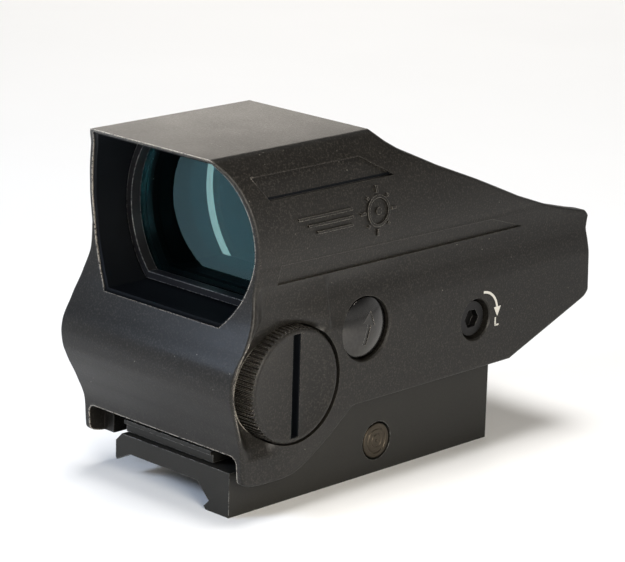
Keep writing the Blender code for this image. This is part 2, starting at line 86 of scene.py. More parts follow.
class Nodes:
    # a node tree under construction
    def __init__(self, tree):
        self.tree = tree

    def plug(self, value, socket):
        if isinstance(value, Wire):
            self.tree.links.new(value.socket, socket)
        elif value is not None:
            if isinstance(value, tuple) and len(value) == 3 and len(socket.default_value) == 4:
                value = (*value, 1)
            socket.default_value = value

    def add(self, kind, settings=None, sockets=None, out=0):
        node = self.tree.nodes.new("ShaderNode" + kind)
        for key, value in (settings or {}).items():
            if key == "stops":
                while len(node.color_ramp.elements) < len(value):
                    node.color_ramp.elements.new(0.5)
                for element, (place, colour) in zip(node.color_ramp.elements, value):
                    element.position = place
                    element.color = colour if isinstance(colour, tuple) else (colour, colour, colour, 1)
            else:
                setattr(node, key, value)
        for key, value in (sockets or {}).items():
            self.plug(value, node.inputs[key])
        return Wire(self, node.outputs[out])

    def place(self):
        return self.add("TexCoord", out=3)

    def noise(self, size, detail=3, roughness=0.5):
        # size is the rough width of one blotch, in millimetres
        inputs = {"Vector": self.place(), "Scale": 1 / (size * mm), "Detail": detail}
        inputs["Roughness"] = roughness
        return self.add("TexNoise", None, inputs)

    def spots(self, size, share):
        # scattered specks: size is the cell width in millimetres, share the part of a cell they fill
        inputs = {"Vector": self.place(), "Scale": 1 / (size * mm)}
        cells = self.add("TexVoronoi", None, inputs)
        return self.between(cells, share, share * 0.6)

    def between(self, value, low, high):
        # 0 at low, 1 at high, smooth, whichever way they lie
        settings = {"interpolation_type": "SMOOTHSTEP"}
        return self.add("MapRange", settings, {0: value, 1: low, 2: high, 3: 0.0, 4: 1.0})

    def blend(self, amount, first, second):
        return self.add("Mix", {"data_type": "RGBA"}, {0: amount, 6: first, 7: second}, 2)

    def edges(self, radius):
        # 1 where the surface turns sharply within the radius, in millimetres
        soft = self.add("Bevel", {"samples": 6}, {"Radius": radius * mm})
        normal = self.add("NewGeometry", None, None, 1)
        closeness = self.add("VectorMath", {"operation": "DOT_PRODUCT"}, {0: soft, 1: normal}, 1)
        return self.between(closeness, 0.985, 0.86)

    def softEdges(self, radius):
        return self.add("Bevel", {"samples": 4}, {"Radius": radius * mm})

    def relief(self, height, depth, under=None):
        # height goes 0 to 1 over depth millimetres
        inputs = {"Height": height, "Strength": 1.0, "Distance": depth * mm, "Normal": under}
        return self.add("Bump", None, inputs)


class Finish(Nodes):
    # a named material with one shader; fixed values go straight on its sockets
    def __init__(self, name, **fixed):
        self.material = bpy.data.materials.new(name)
        self.material.use_nodes = True
        super().__init__(self.material.node_tree)
        self.shader = self.tree.nodes["Principled BSDF"]
        for key, value in fixed.items():
            self.set(key, value)
        materials[name] = self.material

    def set(self, key, value):
        self.plug(value, self.shader.inputs[key.replace("_", " ")])


def paintFinish(name, wearEverywhere, bareAndHighlightWidth):
    # satin paint, rubbed bare on its edges: a little anywhere, most along the front rim, where the pale bare
    # colour is also a painted highlight
    look = {"dark": (0.0052, 0.0046, 0.0038), "light": (0.0092, 0.0082, 0.0068),
            "fleck": (0.034, 0.031, 0.026), "worn": (0.07, 0.065, 0.056), "dust": (0.22, 0.21, 0.18),
            "edge": (0.50, 0.46, 0.40), "grain": 0.3, "grainDepth": 0.03, "rimWearAndHighlight": 0.95,
            "rimFrom": 2.6, "rimTo": 1.2}
    f = Finish(name, Metallic=0.0, Specular_IOR_Level=0.24)
    grain = f.noise(look["grain"], 2, 0.6)
    cloud = f.noise(9, 3, 0.55)
    edge = f.edges(0.18)
    worn = edge * f.between(f.noise(1.2, 4, 0.7), 0.38, 0.66)
    dust = f.spots(1.9, 0.06) * f.between(f.noise(4, 1), 0.5, 0.62)
    base = f.blend(cloud, look["dark"], look["light"])
    base = f.blend(f.between(grain, 0.5, 0.66) * 0.6, base, look["fleck"])
    base = f.blend(worn * 0.55, base, look["worn"])
    # pale bare edges: real wear everywhere, and along the front rim mostly a painted highlight
    bareAndHighlight = f.edges(bareAndHighlightWidth) * f.between(f.noise(0.35, 3), 0.36, 0.52)
    depth = f.add("SeparateXYZ", None, {0: f.place()}, 1)
    front = f.between(depth, toFrame(0, look["rimFrom"], 0).y, toFrame(0, look["rimTo"], 0).y)
    bareAndHighlight = bareAndHighlight * (wearEverywhere + (look["rimWearAndHighlight"] - wearEverywhere) * front)
    base = f.blend(bareAndHighlight, base, look["edge"])
    f.set("Base Color", f.blend(dust * 0.7, base, look["dust"]))
    f.set("Roughness", 0.34 + 0.1 * cloud + 0.08 * f.between(grain, 0.3, 0.7) - 0.1 * worn)
    f.set("Normal", f.relief(grain, look["grainDepth"], f.softEdges(0.14)))


def anodisedFinish():
    # blasted and anodised alloy, bright where an edge is rubbed
    look = {"dark": (0.0095, 0.009, 0.0075), "light": (0.016, 0.015, 0.0125),
            "fleck": (0.03, 0.028, 0.0235), "worn": (0.42, 0.41, 0.39)}
    f = Finish("anodisedAlloy", Specular_IOR_Level=0.27)
    grain = f.noise(0.16, 2, 0.7)
    cloud = f.noise(6, 3, 0.6)
    edge = f.edges(0.16)
    worn = edge * f.between(f.noise(0.9, 4, 0.7), 0.4, 0.6)
    base = f.blend(cloud, look["dark"], look["light"])
    base = f.blend(f.between(grain, 0.4, 0.8) * 0.5, base, look["fleck"])
    f.set("Base Color", f.blend(worn * 0.8, base, look["worn"]))
    f.set("Metallic", 0.7 * worn)
    f.set("Roughness", 0.5 + 0.12 * cloud - 0.15 * worn)
    f.set("Normal", f.relief(grain, 0.018, f.softEdges(0.12)))


def turnedFinish(name, colour, rim, axis, centre, roughness, pitch, coat):
    # lathe-turned metal: fine rings about an axis through the centre, which is in drawing millimetres
    f = Finish(name, Metallic=1.0, Coat_Weight=coat, Coat_Roughness=0.05)
    where = f.add("VectorMath", {"operation": "SUBTRACT"}, {0: f.place(), 1: tuple(toFrame(*centre))})
    keep = {"X": (0, 1, 1), "Y": (1, 0, 1), "Z": (1, 1, 0)}[axis]
    flat = f.add("VectorMath", {"operation": "MULTIPLY"}, {0: where, 1: keep})
    radius = f.add("VectorMath", {"operation": "LENGTH"}, {0: flat}, 1)
    rings = f.add("Math", {"operation": "SINE"}, {0: radius * (2 * math.pi / (pitch * mm))})
    wobble = f.noise(0.5, 2)
    edge = f.edges(0.12)
    f.set("Base Color", f.blend(edge * 0.6, f.blend(wobble * 0.1, colour, rim), rim))
    f.set("Roughness", roughness + 0.1 * wobble)
    f.set("Normal", f.relief(rings * 0.5 + wobble * 0.1, 0.0018, f.softEdges(0.1)))


def plainFinish(name, colour, roughness, metallic=0.0, grain=0.3, depth=0.004, worn=None, rim=0.1):
    # one even colour with a fine grain, paler within rim millimetres of an edge
    f = Finish(name, Metallic=metallic)
    fine = f.noise(grain, 3, 0.6)
    cloud = f.noise(grain * 12, 2)
    edge = f.edges(rim) * f.between(fine, 0.35, 0.6)
    darker = tuple(c * 0.75 for c in colour)
    brighter = worn or tuple(min(1.0, c * 1.6) for c in colour)
    f.set("Base Color", f.blend(edge * 0.7, f.blend(cloud, darker, colour), brighter))
    f.set("Roughness", roughness + 0.1 * cloud)
    f.set("Normal", f.relief(fine, depth, f.softEdges(0.08)))
    return f


def insideFinish():
    # matt lining of the sight tunnel, also laid on the front window's lip and in the cap's slot as painted
    # shade
    look = {"dark": (0.0018, 0.0024, 0.0034), "light": (0.0035, 0.0045, 0.006)}
    f = Finish("blackLiningAndPaintedShade", Metallic=0.0, Specular_IOR_Level=0.10)
    fine = f.noise(0.3, 3, 0.6)
    f.set("Base Color", f.blend(f.noise(4, 2), look["dark"], look["light"]))
    f.set("Roughness", 0.5 + 0.15 * fine)
    f.set("Normal", f.relief(fine, 0.0015))


def glassFinish(name, tint, ior):
    # coated glass with a little dust
    look = {"coating": (0.28, 0.84, 0.95), "dust": (0.8, 0.85, 0.8)}
    f = Finish(name, IOR=ior, Transmission_Weight=1.0, Specular_Tint=look["coating"])
    dust = f.spots(2.3, 0.035) * f.between(f.noise(3, 1), 0.5, 0.6)
    f.set("Base Color", f.blend(dust * 0.6, tint, look["dust"]))
    f.set("Roughness", 0.4 * dust)


plainLooks = {
    "ringAlloy": {"colour": (0.05, 0.05, 0.055), "roughness": 0.3, "metallic": 0.8, "grain": 0.35,
                  "depth": 0.012, "worn": (0.75, 0.74, 0.72), "rim": 0.3},
    "blackSteel": {"colour": (0.035, 0.034, 0.034), "roughness": 0.34, "metallic": 1.0, "depth": 0.003,
                   "worn": (0.25, 0.24, 0.23)},
    "cellSteel": {"colour": (0.6, 0.6, 0.58), "roughness": 0.3, "metallic": 1.0},
    "sealRubber": {"colour": (0.012, 0.012, 0.012), "roughness": 0.7},
    "mouldedPlastic": {"colour": (0.02, 0.02, 0.021), "roughness": 0.45},
    "contactBrass": {"colour": (0.55, 0.38, 0.14), "roughness": 0.3, "metallic": 1.0},
    "solderMask": {"colour": (0.01, 0.09, 0.035), "roughness": 0.35},
    "printWhite": {"colour": (0.62, 0.60, 0.55), "roughness": 0.6, "grain": 0.12, "worn": (0.75, 0.74, 0.7)},
    "ledRed": {"colour": (0.5, 0.03, 0.02), "roughness": 0.2},
}


def makeFinishes():
    paintFinish("paintedAlloy", 0.02, 0.45)
    paintFinish("wornPaint", 0.35, 0.12)
    anodisedFinish()
    insideFinish()
    glassFinish("coatedGlass", (0.09, 0.25, 0.28), 1.42)
    glassFinish("rearGlass", (0.46, 0.33, 0.28), 1.15)
    # the pane's cut ends: pale cyan that glows, a painted highlight for the bright line seen along them
    edge = plainFinish("glassEdgePaintedGlint", (0.35, 0.7, 0.74), 0.25)
    edge.set("Emission Color", (1.0, 0.72, 0.69))
    edge.set("Emission Strength", 3.0)
    turnedFinish("turnedBlack", (0.028, 0.027, 0.026), (0.30, 0.28, 0.25), "X", centreOf("up_button"),
                 0.12, 0.13, 0.3)
    turnedFinish("turnedSteel", (0.058, 0.048, 0.036), (0.20, 0.17, 0.13), "X", centreOf("cross_bolt"),
                 0.36, 0.34, 0.0)
    for name, look in plainLooks.items():
        plainFinish(name, **look)


# mesh helpers: shapes are drawn in millimetres
def meshObject(name, vertices, faces, finish=None):
    mesh = bpy.data.meshes.new(name)
    mesh.from_pydata([toFrame(*v) for v in vertices], [], faces)
    mesh.validate()
    item = bpy.data.objects.new(name, mesh)
    bpy.context.scene.collection.objects.link(item)
    if finish:
        mesh.materials.append(materials[finish])
    return item


def outward(item):
    data = bmesh.new()
    data.from_mesh(item.data)
    bmesh.ops.recalc_face_normals(data, faces=data.faces)
    data.to_mesh(item.data)
    data.free()
    return item


def rounded(item, angle=32):
    item.data.shade_smooth()
    item.data.set_sharp_from_angle(angle=math.radians(angle))
    return item


def settle(item):
    # fixes the item's modifiers into its mesh
    bpy.context.view_layer.update()
    shaped = item.evaluated_get(bpy.context.evaluated_depsgraph_get())
    mesh = bpy.data.meshes.new_from_object(shaped)
    item.modifiers.clear()
    item.data = mesh
    return item


def carve(item, tools, operation="DIFFERENCE"):
    # cuts or joins the tools into the item, which keeps their materials on the new faces
    for tool in tools:
        outward(tool)
        cut = item.modifiers.new(tool.name, "BOOLEAN")
        cut.operation = operation
        cut.solver = "MANIFOLD"
        cut.material_mode = "TRANSFER"
        cut.object = tool
    settle(item)
    for tool in tools:
        bpy.data.objects.remove(tool)
    return item


def alongAxis(axis, position, a, b):
    point = [a, b]
    point.insert("XYZ".index(axis), position)
    return point


def loft(name, loops, finish=None):
    # joins loops of equal length into a skin, capped at both ends
    count = len(loops[0])
    vertices = [v for loop in loops for v in loop]
    faces = []
    for i in range(len(loops) - 1):
        one, two = i * count, (i + 1) * count
        for j in range(count):
            k = (j + 1) % count
            faces.append((one + j, one + k, two + k, two + j))
    faces.append(tuple(range(count)))
    faces.append(tuple(range((len(loops) - 1) * count, len(loops) * count)))
    return outward(meshObject(name, vertices, faces, finish))


def prism(name, axis, outline, low, high, finish=None):
    return loft(name, [[alongAxis(axis, p, a, b) for a, b in outline] for p in (low, high)], finish)


def circle(a, b, radius, count):
    turn = 2 * math.pi / count
    return [(a + radius * math.cos(i * turn), b + radius * math.sin(i * turn)) for i in range(count)]


def turned(name, axis, centre, profile, count, finish=None):
    # profile is a list of (position, radius) along the axis
    a, b = [centre[i] for i in range(3) if i != "XYZ".index(axis)]
    loops = []
    for position, radius in profile:
        loops.append([alongAxis(axis, position, u, v) for u, v in circle(a, b, max(radius, 0.001), count)])
    return rounded(loft(name, loops, finish))


def box(name, x, y, z):
    outline = [(y[0], z[0]), (y[1], z[0]), (y[1], z[1]), (y[0], z[1])]
    return prism(name, "X", outline, x[0], x[1])


def fillet(radius, centre, start, end):
    # arc points about a centre, angles in degrees
    steps = 6
    points = []
    for i in range(steps + 1):
        angle = math.radians(start + (end - start) * i / steps)
        points.append((centre[0] + radius * math.cos(angle), centre[1] + radius * math.sin(angle)))
    return points


def ease(low, high, value):
    t = np.clip((value - low) / (high - low), 0, 1)
    return t * t * (3 - 2 * t)


def curveThrough(points):
    # a smooth function through (position, value) pairs that never overshoots
    xs = np.array([p[0] for p in points], float)
    ys = np.array([p[1] for p in points], float)
    slopes = np.diff(ys) / np.diff(xs)
    inner = np.where(slopes[:-1] * slopes[1:] > 0,
                     2 * slopes[:-1] * slopes[1:] / (slopes[:-1] + slopes[1:] + 1e-12), 0)
    tangents = np.concatenate([slopes[:1], inner, slopes[-1:]])

    def value(x):
        x = np.clip(np.asarray(x, float), xs[0], xs[-1])
        i = np.clip(np.searchsorted(xs, x, side="right") - 1, 0, len(slopes) - 1)
        span = xs[i + 1] - xs[i]
        t = (x - xs[i]) / span
        return ((2 * t ** 3 - 3 * t ** 2 + 1) * ys[i] + (t ** 3 - 2 * t ** 2 + t) * span * tangents[i]
                + (3 * t ** 2 - 2 * t ** 3) * ys[i + 1] + (t ** 3 - t ** 2) * span * tangents[i + 1])

    return value


# the housing, as seen from the side: y runs from front to tail, z up; then half widths by height
hood = {
    "radius": 20.15, "middle": 45.5, "top": 59.6, "flatHalf": 13.0,
    "edge": 0.55,                            # rounding of the outer edges
    "lip": 0.5,                              # rounding of the front window's rim
    "waist": 42,                             # the round upper part ends here
    "frontBlend": 12,                        # the front's half width gives way to the rear's by here
    "skirtEnd": 23.4, "flange": 15.7, "skirtLow": 5.9,
    "bore": (18.8, 13.1),                    # radius and half height of the front window
    "shoulder": 14.6,                        # how far back the front bore goes
    "middleBore": (17.3, 11.6), "middleSpan": (13, 27),
    "channel": (18.2, 12.7), "channelSpan": (26, 95),
    "spacing": 0.35,                         # height between the rows of the shell
}
frontFace = [(5.9, 3.0), (6.1, 1.2), (6.6, -0.3), (7.2, -0.78), (12, -1.21), (16, -2.58), (20, -4.27),
             (22.2, -4.95), (24, -5.08), (26, -4.73), (30, -2.5), (34, -0.6), (38, 0.37), (43, 0.85),
             (48, 0.4), (52, -0.45), (56, -1.88), (59.6, -4.48)]
skirtRear = [(5.9, 7.6), (6.2, 9.8), (7.0, 11.8), (10.3, 16.6), (12.3, 19.0), (14.6, 21.7),
             (15.4, 22.7), (15.7, 23.4)]
tailRear = [(15.7, 61.6), (23.3, 81.2), (24.4, 82.2), (31.8, 81.9), (35.6, 81.6), (38.0, 82.3),
            (38.9, 81.4), (39.6, 78.3), (41.5, 71.1), (44.5, 62.7), (48.9, 52.4), (52.6, 43.1),
            (56.2, 35.3), (57.6, 33.1), (59.6, 30.9)]
frontOf = curveThrough(frontFace)
frontHalf = curveThrough([(3, 19.4), (12, 19.2), (16, 19.6), (20, 20.3), (26, 20.85), (30, 21.0),
                          (34, 20.5), (38.2, 19.64), (42, 19.9)])
rearHalf = curveThrough([(3, 19.3), (8, 19.9), (12, 20.4), (15, 20.6), (31, 20.6), (33.5, 20.3),
                         (36, 19.8), (38.2, 19.64), (42, 19.9)])

# the hollow round the battery cap, by height: its depth, where it starts and ends, and how
# long it takes to rise at the end; then the shallow step behind it
valley = curveThrough([(10.5, 0), (12.5, 1.0), (15, 2.5), (18, 3.3), (22, 3.7), (26, 3.5), (31, 2.3),
                       (35, 1.2), (38.3, 0.4), (38.95, 0)])
valleyStart = curveThrough([(12, -0.9), (16, -2.2), (20, -3.9), (24, -4.7), (27, -4.0), (31, -1.6),
                            (34, 0.3), (38, 0.5)])
valleyEnd = curveThrough([(12, 7), (16, 8.5), (20, 10), (26, 13), (29, 15.2), (31, 17.2), (38, 17.2)])
valleyRise = curveThrough([(12, 2.8), (29, 2.8), (33, 12), (38, 12)])
valleyFall = 2.7
step = curveThrough([(29.5, 0), (32, 0.6), (36.5, 0.7), (38.9, 0)])
stepSpan = {"top": 16.6, "bottom": 17.3, "end": 38}


def straightThrough(points):
    xs, ys = zip(*points)
    return lambda x: np.interp(x, xs, ys)


def halfWidth(y, z, batterySide):
    # distance of the housing's side from the centre plane; only the battery side has the hollow
    upper = np.sqrt(np.maximum(hood["radius"] ** 2 - (z - hood["middle"]) ** 2, hood["flatHalf"] ** 2))
    front, rear = frontHalf(z), rearHalf(z)
    lower = front + (rear - front) * ease(0, hood["frontBlend"], y)
    if batterySide:
        start, end = valleyStart(z), valleyEnd(z)
        lower = lower - valley(z) * ease(start, start + valleyFall, y) * ease(end, end - valleyRise(z), y)
        fall = ease(stepSpan["top"], stepSpan["bottom"], y)
        lower = lower - step(z) * fall * ease(stepSpan["end"], stepSpan["bottom"], y)
    return np.where(z >= hood["waist"], upper, lower)


def distanceToOutline(y, z, outline):
    # shortest distance from each point to a closed outline
    best = np.full(y.shape, 1e9)
    for (y0, z0), (y1, z1) in zip(outline, outline[1:] + outline[:1]):
        dy, dz = y1 - y0, z1 - z0
        length = max(dy * dy + dz * dz, 1e-9)
        t = np.clip(((y - y0) * dy + (z - z0) * dz) / length, 0, 1)
        best = np.minimum(best, np.hypot(y - y0 - t * dy, z - z0 - t * dz))
    return best


def edgeSteps(radius):
    # distances from an edge that draw its rounding well
    return [radius * (1 - math.cos(math.radians(a))) for a in (0, 15, 30, 45, 60, 75, 90)] + [radius * 1.5]


def spread(low, high, spacing, lowSteps=(0,), highSteps=(0,)):
    # positions from low to high, crowded near an edge at either end
    start, end = low + max(lowSteps), high - max(highSteps)
    count = max(2, int(round((end - start) / spacing)))
    middle = [start + (end - start) * i / count for i in range(1, count)]
    return [low + s for s in lowSteps] + middle + [high - s for s in reversed(highSteps)]


def housingShell():
    # both flanks as grids of rows by height, joined along the outline
    edge = edgeSteps(hood["edge"])
    low = spread(hood["skirtLow"], hood["flange"], hood["spacing"], edge)
    high = spread(hood["flange"], hood["top"], hood["spacing"], edge, edge)
    rearLine, skirtLine = straightThrough(tailRear), curveThrough(skirtRear)
    columns, rest = 78, 120
    share = np.array([i / columns for i in range(columns + 1)])
    tailShare = np.array([i / rest for i in range(1, rest + 1)])

    def crowd(t, steps, length):
        # maps even shares of a length so that the first and last ones follow the edge steps
        n = len(steps) - 1
        m = len(t) - 1
        out = np.interp(np.arange(m + 1), [n, m], [steps[-1], length])
        out[:n + 1] = steps
        return out

    def rowOf(z, lowerPart):
        front = float(frontOf(z))
        lean = math.hypot(1, float(frontOf(z + 0.05) - frontOf(z - 0.05)) / 0.1)
        steps = [s * min(lean, 3) for s in edge]
        end = float(skirtLine(z)) if lowerPart else hood["skirtEnd"]
        lengths = crowd(share, steps, end - front)
        if lowerPart:
            back = (end - front) - lengths[::-1]
            weight = ease(0.35, 0.65, share)
            lengths = lengths * (1 - weight) + back * weight
            return list(front + lengths)
        ys = list(front + lengths)
        rear = float(rearLine(z))
        slope = float(rearLine(z + 0.02) - rearLine(z - 0.02)) / 0.04
        steps = [s * min(math.hypot(1, slope), 4) for s in edge]
        tail = (rear - end) - crowd(np.append(0, tailShare), steps, rear - end)[::-1]
        return ys + list(end + tail[1:])

    rows = [(z, rowOf(z, True)) for z in low[:-1]] + [(z, rowOf(z, False)) for z in high]
    outline = [(y[0], z) for z, y in rows]
    outline += [(y[-1], z) for z, y in reversed(rows) if z >= hood["flange"]]
    outline += [(y[-1], z) for z, y in reversed(rows) if z < hood["flange"]]
    vertices, index = [], []
    for side in (True, False):
        grid = []
        for z, ys in rows:
            ys = np.array(ys)
            zs = np.full(ys.shape, z)
            depth = np.minimum(distanceToOutline(ys, zs, outline), hood["edge"])
            inset = hood["edge"] - np.sqrt(np.maximum(hood["edge"] ** 2 - (hood["edge"] - depth) ** 2, 0))
            width = halfWidth(ys, zs, side) - inset
            grid.append(list(range(len(vertices), len(vertices) + len(ys))))
            vertices.extend((w if side else -w, y, z) for w, y in zip(width, ys))
        index.append(grid)
    faces = []
    for grid in index:
        for one, two in zip(grid, grid[1:]):
            for j in range(min(len(one), len(two)) - 1):
                faces.append((one[j], one[j + 1], two[j + 1], two[j]))
    near, far = index

    def bridge(a, b, c, d):
        faces.append((a, b, d, c))

    for i in range(len(rows) - 1):
        bridge(near[i][0], near[i + 1][0], far[i][0], far[i + 1][0])
        if len(near[i]) == len(near[i + 1]):
            bridge(near[i][-1], near[i + 1][-1], far[i][-1], far[i + 1][-1])
    ledge = len(low) - 1
    bridge(near[ledge - 1][-1], near[ledge][columns], far[ledge - 1][-1], far[ledge][columns])
    for i, first in ((0, 0), (len(rows) - 1, 0), (ledge, columns)):
        for j in range(first, len(near[i]) - 1):
            bridge(near[i][j], near[i][j + 1], far[i][j], far[i][j + 1])
    return outward(meshObject("housingShell", vertices, faces, "paintedAlloy"))


def windowOutline(radius, half):
    # a circle with flat top and bottom
    steps = 72
    cut = math.asin(half / radius)
    points = []
    for side in (0, math.pi):
        for i in range(steps + 1):
            angle = side - cut + 2 * cut * i / steps
            points.append((radius * math.cos(angle), hood["middle"] + radius * math.sin(angle)))
    return points


def windowLoop(radius, half, y):
    return [(x, y, z) for x, z in windowOutline(radius, half)]


def windowCutter():
    # the front bore with a small lip that follows the curved face
    radius, half = hood["bore"]
    lip = hood["lip"]
    wide = windowOutline(radius + lip, half + lip)
    tight = windowOutline(radius, half)
    loops = [[(x, -9, z) for x, z in wide]]
    loops.append([(x, float(frontOf(z)) - 0.02, z) for x, z in wide])
    for angle in (30, 60, 90):
        back = lip * math.sin(math.radians(angle))
        inward = 1 - math.cos(math.radians(angle))
        loop = []
        for (x0, z0), (x1, z1) in zip(wide, tight):
            x, z = x0 + (x1 - x0) * inward, z0 + (z1 - z0) * inward
            loop.append((x, float(frontOf(z)) + back, z))
        loops.append(loop)
    loops.append([(x, hood["shoulder"], z) for x, z in tight])
    return loft("windowBore", loops, "blackLiningAndPaintedShade")


def pocketCutter(side, lowFront, lowRear, highFront, highRear, lowDepth, highDepth):
    # a shallow pocket whose floor follows the wall, deeper along its lower edge
    steps = 10
    loops = []
    for i in range(steps + 1):
        t = i / steps
        y0, z0 = (a + (b - a) * t for a, b in zip(lowFront, highFront))
        y1, z1 = (a + (b - a) * t for a, b in zip(lowRear, highRear))
        z = (z0 + z1) / 2
        x = side * (float(halfWidth(30, z, False)) - lowDepth - (highDepth - lowDepth) * t)
        loops.append([(x, y0, z0), (side * 24, y0, z0), (side * 24, y1, z1), (x, y1, z1)])
    return loft("pocket", loops)


cuts = {
    "boss": [(65, 31), (65, 37.0), *fillet(1.2, (66.2, 37.2), 180, 90), (73.9, 38.4), (74.6, 38.2),
             (77.6, 33.5), (77.6, 31)],                  # holds the light source, on the channel's floor
    "bossHalf": 7.2,
    "plinth": ((-15.3, 15.3), (20, 61), (14.8, 17)),
    "arch": [(-17.9, 4), (17.9, 4), *fillet(1.3, (16.6, 9.9), 0, 90),
             *fillet(1.3, (-16.6, 9.9), 90, 180)],       # under the front skirt
    "foot": [(1.6, 2), (90, 2), (90, 14.8), (16.6, 14.8), (16.6, 11.22),
             (1.6, 11.22)],                              # room for the base
    "footHalf": 15.6,
    "bay": [(22, 17), (60, 17), (60, 19.4), (65.6, 19.4), (70.5, 23.0), (76.5, 23.0), (76.5, 29.5),
            (46, 29.5), (46, 31.3), (22, 31.3)],         # room for the boards and the screws
    "bayHalf": 15.8,
    "bayMouth": ((-9, 9), (22, 48), (12, 18)),
    "bossCavity": ((-4.8, 4.8), (66.7, 75.2), (28, 36.9)),
    "emitterPort": ((-3.2, 3.2), (64, 67), (33.4, 36.4)),
    "leadChannel": ((7, 9), (16, 23), (19.5, 23.5)),
    "elevationPort": {"x": 3.8, "y": 2.9, "z": (29, 34)},
    "capGap": 0.28, "cellRadius": 8.5, "buttonGap": 0.2,
    "pockets": [
        ((4.2, 52.6), (32.4, 52.6), (1.7, 56.3), (26.0, 56.3), 0.85, 0.32),
        ((5.5, 38.9), (64.2, 38.9), (6.1, 42.0), (56.2, 41.4), 0.42, 0.26),
    ],
}


def radiusOf(node):
    low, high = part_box(node)
    return (high.y - low.y) / 2 / mm


def makeHousing():
    shell = housingShell()
    print("shell", len(shell.data.polygons))
    cap, button = centreOf("battery_cap"), centreOf("up_button")
    windage, elevation = centreOf("windage_screw"), centreOf("elevation_screw")
    carve(shell, [
        windowCutter(),
        loft("middleBore", [windowLoop(*hood["middleBore"], y) for y in hood["middleSpan"]], "blackLiningAndPaintedShade"),
        loft("rearChannel", [windowLoop(*hood["channel"], y) for y in hood["channelSpan"]], "blackLiningAndPaintedShade"),
    ])
    carve(shell, [prism("boss", "X", cuts["boss"], -cuts["bossHalf"], cuts["bossHalf"])], "UNION")
    carve(shell, [box("plinth", *cuts["plinth"])], "UNION")
    port = cuts["elevationPort"]
    r = radiusOf("battery_cap") + cuts["capGap"]
    tools = [
        prism("arch", "Y", cuts["arch"], -9, 2.5),
        prism("foot", "X", cuts["foot"], -cuts["footHalf"], cuts["footHalf"]),
        prism("bay", "X", cuts["bay"], -cuts["bayHalf"], cuts["bayHalf"]),
        box("bayMouth", *cuts["bayMouth"]),
        box("bossCavity", *cuts["bossCavity"]),
        box("emitterPort", *cuts["emitterPort"]),
        box("elevationPort", (-port["x"], port["x"]), (elevation.y - port["y"], elevation.y + port["y"]),
            port["z"]),
        turned("capBore", "X", cap, [(15.4, 0), (15.4, r), (26, r), (26, 0)], 120),
        turned("cellWell", "X", cap, [(6.5, 0), (6.5, cuts["cellRadius"]), (16, cuts["cellRadius"]),
                                      (16, 0)], 64),
        box("leadChannel", *cuts["leadChannel"]),
        turned("windageBore", "X", windage, [(15, 0), (15, 1.7), (17, 1.7), (17, 3.55), (20.35, 3.55),
                                             (20.62, 3.8), (26, 3.8), (26, 0)], 72),
    ]
    r = radiusOf("up_button") + cuts["buttonGap"]
    well = [(15, 0), (15, 2.1), (17, 2.1), (17, r), (20.3, r), (20.6, r + 0.25), (26, r + 0.25), (26, 0)]
    for side in (1, -1):
        for pocket in cuts["pockets"]:
            tools.append(pocketCutter(side, *pocket))
        tools.append(turned("buttonBore", "X", button, [(side * p, q) for p, q in well], 96))
    carve(shell, tools)
    shell.data.materials.clear()
    for name in ("paintedAlloy", "blackLiningAndPaintedShade"):
        shell.data.materials.append(materials[name])
    # the tunnel's faces take its black lining; the window's rounded lip takes it too, as a painted shade
    # band
    radius, half = hood["bore"]
    reach = hood["lip"] + 0.1
    for face in shell.data.polygons:
        x, y, z = face.center / mm + seat
        z -= hood["middle"]
        liningAndShadedLip = math.hypot(x, z) < radius + reach and abs(z) < half + reach
        face.material_index = 1 if liningAndShadedLip and y > float(frontOf(z + hood["middle"])) + 0.1 else 0
    rounded(shell, 28)
    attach(shell, "housing")
    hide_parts("housing")
    print("housing", len(shell.data.polygons))


def makeCap():
    # knurled battery cap with a bevelled coin slot; the plan is (position, radius, share of knurl)
    cap = {"teeth": 70, "samples": 6, "root": 9.33, "tip": 9.71, "face": 20.42, "slot": 0.75,
           "slotHalf": 8.7, "slotFloor": 19.2, "slotBevel": 0.14}
    centre = centreOf("battery_cap")
    count = cap["teeth"] * cap["samples"]
    middle = (cap["root"] + cap["tip"]) / 2
    swing = (cap["tip"] - cap["root"]) / 2
    plan = [(11.9, 0.05, 0), (11.9, 7.9, 0), (13.2, 7.9, 0), (13.2, 7.1, 0), (14.4, 7.1, 0),
            (14.4, 7.9, 0), (15.7, 7.9, 0), (15.7, 9.0, 0), (15.95, middle, 1), (20.0, middle, 1),
            (20.25, middle - 0.05, 0.5), (20.42, 9.38, 0.0), (20.54, 9.26, 0), (20.6, 9.05, 0),
            (20.6, 8.75, 0), (20.56, 8.66, 0), (20.56, 0.05, 0)]
    loops = []
    for x, radius, share in plan:
        loop = []
        for i in range(count):
            angle = 2 * math.pi * i / count
            wave = max(-0.8, min(0.8, 1.3 * math.cos(cap["teeth"] * angle))) / 0.8
            r = radius + share * swing * wave
            loop.append((x, centre.y + r * math.cos(angle), centre.z + r * math.sin(angle)))
        loops.append(loop)
    item = loft("batteryCap", loops, "wornPaint")
    half = cap["slot"]
    wide = half + cap["slotBevel"]
    face, floor = cap["face"], cap["slotFloor"]
    mouth = [(floor, -half), (face, -half), (face + 0.16, -wide), (22, -wide), (22, wide),
             (face + 0.16, wide), (face, half), (floor, half)]
    # the slot walls take the tunnel's black lining: painted shade in the slot
    slot = prism("slot", "Z", [(x, centre.y + y) for x, y in mouth], centre.z - cap["slotHalf"],
                 centre.z + cap["slotHalf"], "blackLiningAndPaintedShade")
    carve(item, [slot])
    rounded(item, 30)
    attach(item, "battery_cap")
    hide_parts("battery_cap")
    print("cap", len(item.data.polygons))


